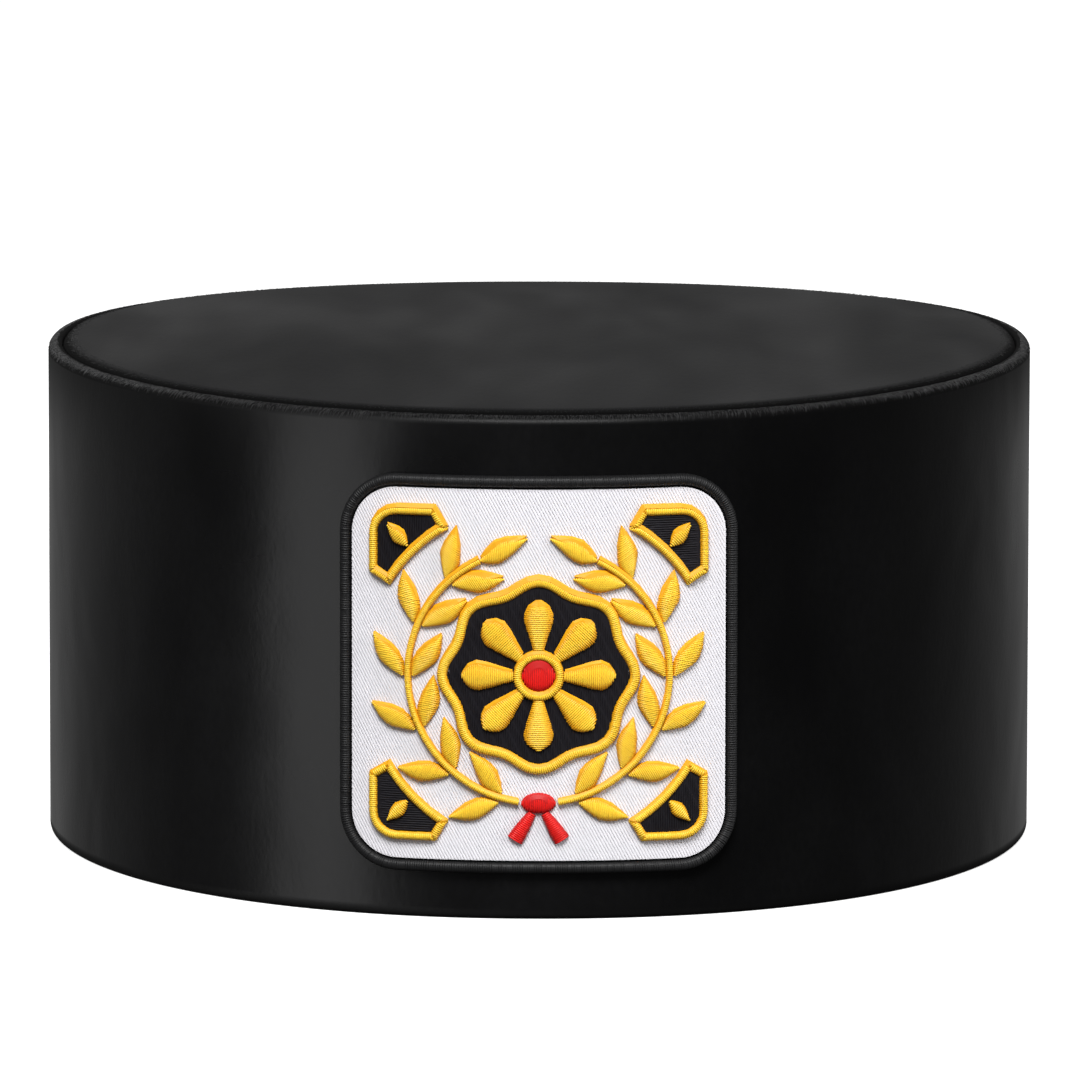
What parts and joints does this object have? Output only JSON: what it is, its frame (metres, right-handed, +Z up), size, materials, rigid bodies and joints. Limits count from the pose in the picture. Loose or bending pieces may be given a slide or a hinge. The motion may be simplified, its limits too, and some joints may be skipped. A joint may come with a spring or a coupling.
{
  "type": "masonic crown cap",
  "caption": "Round flat-topped brimless dress cap in black velvet, with a square patch of a gold rosette in a laurel wreath on the front.",
  "frame": {"origin": "on the ground in the middle of the head opening, at the bottom centre of the part's box", "axes": "+Z up, -Y the front with the patch, +X towards the wearer's left ear"},
  "size_m": [0.179, 0.2103, 0.0893],
  "materials": {
    "black_velvet": "short brushed pile",
    "white_twill": "fine diagonal twill",
    "overlock_thread": "satin thread",
    "black_thread": "fill stitch",
    "gold_thread": "glossy satin stitch",
    "red_thread": "glossy satin stitch"
  },
  "bodies": {
    "root": {"corner_bud_1": "gold_thread", "corner_bud_2": "gold_thread", "corner_bud_3": "gold_thread", "corner_bud_4": "gold_thread", "corner_field_1": "black_thread", "corner_field_2": "black_thread", "corner_field_3": "black_thread", "corner_field_4": "black_thread", "corner_rim_1": "gold_thread", "corner_rim_2": "gold_thread", "corner_rim_3": "gold_thread", "corner_rim_4": "gold_thread", "leaf_left_1": "gold_thread", "leaf_left_10": "gold_thread", "leaf_left_11": "gold_thread", "leaf_left_12": "gold_thread", "leaf_left_13": "gold_thread", "leaf_left_2": "gold_thread", "leaf_left_3": "gold_thread", "leaf_left_4": "gold_thread", "leaf_left_5": "gold_thread", "leaf_left_6": "gold_thread", "leaf_left_7": "gold_thread", "leaf_left_8": "gold_thread", "leaf_left_9": "gold_thread", "leaf_right_1": "gold_thread", "leaf_right_10": "gold_thread", "leaf_right_11": "gold_thread", "leaf_right_12": "gold_thread", "leaf_right_13": "gold_thread", "leaf_right_2": "gold_thread", "leaf_right_3": "gold_thread", "leaf_right_4": "gold_thread", "leaf_right_5": "gold_thread", "leaf_right_6": "gold_thread", "leaf_right_7": "gold_thread", "leaf_right_8": "gold_thread", "leaf_right_9": "gold_thread", "medallion_field": "black_thread", "medallion_rim": "gold_thread", "patch_border": "overlock_thread", "patch_ground": "white_twill", "petal_1": "gold_thread", "petal_2": "gold_thread", "petal_3": "gold_thread", "petal_4": "gold_thread", "petal_5": "gold_thread", "petal_6": "gold_thread", "petal_7": "gold_thread", "petal_8": "gold_thread", "rosette_heart": "red_thread", "rosette_ring": "gold_thread", "side_band": "black_velvet", "stem_left": "gold_thread", "stem_right": "gold_thread", "tie_knot": "red_thread", "tie_tail_left": "red_thread", "tie_tail_right": "red_thread", "top_panel": "black_velvet"}
  },
  "joints": []
}
